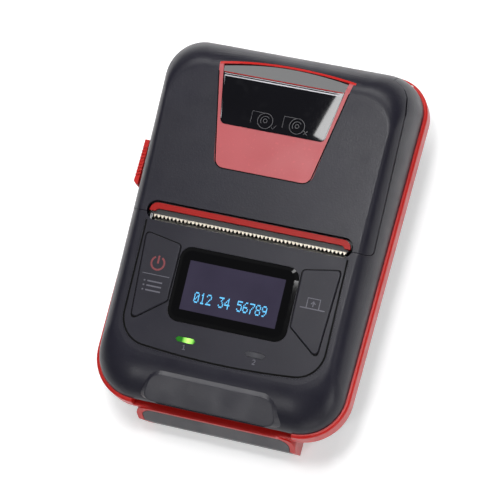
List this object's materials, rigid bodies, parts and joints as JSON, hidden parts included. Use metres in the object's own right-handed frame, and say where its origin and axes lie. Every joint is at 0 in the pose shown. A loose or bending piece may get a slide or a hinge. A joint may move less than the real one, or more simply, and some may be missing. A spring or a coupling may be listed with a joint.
{
  "type": "portable thermal printer",
  "caption": "Hand-held thermal receipt printer with a hinged paper cover, tear bar, display, two keys and a slide-in battery, lying on its back.",
  "frame": {"origin": "on the flat back face, under the middle of the paper slot", "axes": "+Z out of the front face, +Y to the hinge end, +X to the right seen from the front"},
  "size_m": [0.1145, 0.1612, 0.0561],
  "materials": {
    "black_shell": "fine textured black plastic",
    "red_plastic": "smooth red plastic",
    "panel_plastic": "satin dark grey plastic",
    "button_rubber": "soft matt keypad rubber",
    "lens_black": "gloss black lens",
    "screen": "dark display area",
    "smoke_clear": "dark clear plastic",
    "led_green": "lit light pipe",
    "led_clear": "unlit light pipe",
    "frame_plastic": "plain black plastic",
    "steel": "bright steel",
    "zinc_steel": "zinc plated sheet steel",
    "aluminium": "plain aluminium",
    "ceramic": "glazed ceramic",
    "platen_rubber": "ground rubber",
    "gear_plastic": "natural acetal",
    "board_green": "solder mask",
    "brass": "plated contact",
    "battery_plastic": "dark grey plastic"
  },
  "bodies": {
    "body": {"back_shell": "black_shell", "mid_frame": "red_plastic", "front_shell": "black_shell", "hinge_pin": "steel", "control_panel": "panel_plastic", "display_lens": "lens_black", "display_module": "frame_plastic", "display_screen": "screen", "power_led_lens": "led_green", "alert_led_lens": "led_clear", "indicator_leds": "ceramic", "button_switches": "frame_plastic", "main_board": "board_green", "mech_frame": "zinc_steel", "thermal_head": "ceramic", "heat_sink": "aluminium", "head_springs": "steel", "drive_motor": "zinc_steel", "gear_stud": "steel", "paper_guide": "frame_plastic", "paper_sensor": "frame_plastic", "roll_tub": "frame_plastic", "battery_contacts": "frame_plastic", "latch_spring": "steel", "case_screws": "zinc_steel", "io_board": "board_green", "usb_port": "steel", "charging_jack": "frame_plastic"},
    "cover": {"cover_shell": "black_shell", "bezel": "red_plastic", "window": "smoke_clear", "slot_lip": "red_plastic", "tear_bar": "steel", "platen_carrier": "frame_plastic", "cover_screws": "zinc_steel", "platen_bushes": "gear_plastic"},
    "platen": {"platen_shaft": "steel", "platen_rubber": "platen_rubber", "platen_gear": "gear_plastic"},
    "reduction": {"reduction_gear": "gear_plastic"},
    "rotor": {"motor_shaft": "steel", "motor_pinion": "brass"},
    "mode_key": {"mode_button": "button_rubber"},
    "feed_key": {"feed_button": "button_rubber"},
    "latch": {"release_lever": "red_plastic", "latch_slide": "frame_plastic"},
    "battery": {"battery_pack": "battery_plastic", "battery_terminals": "brass"}
  },
  "joints": [
    {"name": "cover_hinge", "type": "hinge", "parent": "body", "child": "cover", "pos_m": [0, 0.0766, 0.0337], "axis": [-1, 0, 0], "range_deg": [0, 90]},
    {"name": "platen_spin", "type": "hinge", "parent": "cover", "child": "platen", "pos_m": [0, 0.0052, 0.036], "axis": [1, 0, 0], "continuous": true},
    {"name": "reduction_spin", "type": "hinge", "parent": "body", "child": "reduction", "pos_m": [0.047, 0.0052, 0.027], "axis": [1, 0, 0], "continuous": true},
    {"name": "rotor_spin", "type": "hinge", "parent": "body", "child": "rotor", "pos_m": [0.047, -0.00293, 0.0166], "axis": [1, 0, 0], "continuous": true},
    {"name": "mode_press", "type": "slide", "parent": "body", "child": "mode_key", "axis": [0, 0.1115, -0.9938], "range_m": [0, 0.0008], "stiffness_N_per_m": 600, "springref_m": -0.0005},
    {"name": "feed_press", "type": "slide", "parent": "body", "child": "feed_key", "axis": [0, 0.1115, -0.9938], "range_m": [0, 0.0008], "stiffness_N_per_m": 600, "springref_m": -0.0005},
    {"name": "latch_slide", "type": "slide", "parent": "body", "child": "latch", "axis": [0, 1, 0], "range_m": [0, 0.004], "stiffness_N_per_m": 500, "springref_m": -0.001},
    {"name": "battery_slide", "type": "slide", "parent": "body", "child": "battery", "axis": [0, -1, 0], "range_m": [0, 0.045]}
  ],
  "couplings": [
    {"joint": "reduction_spin", "follows": "platen_spin", "ratio": -1.5},
    {"joint": "rotor_spin", "follows": "platen_spin", "ratio": 5.1}
  ]
}
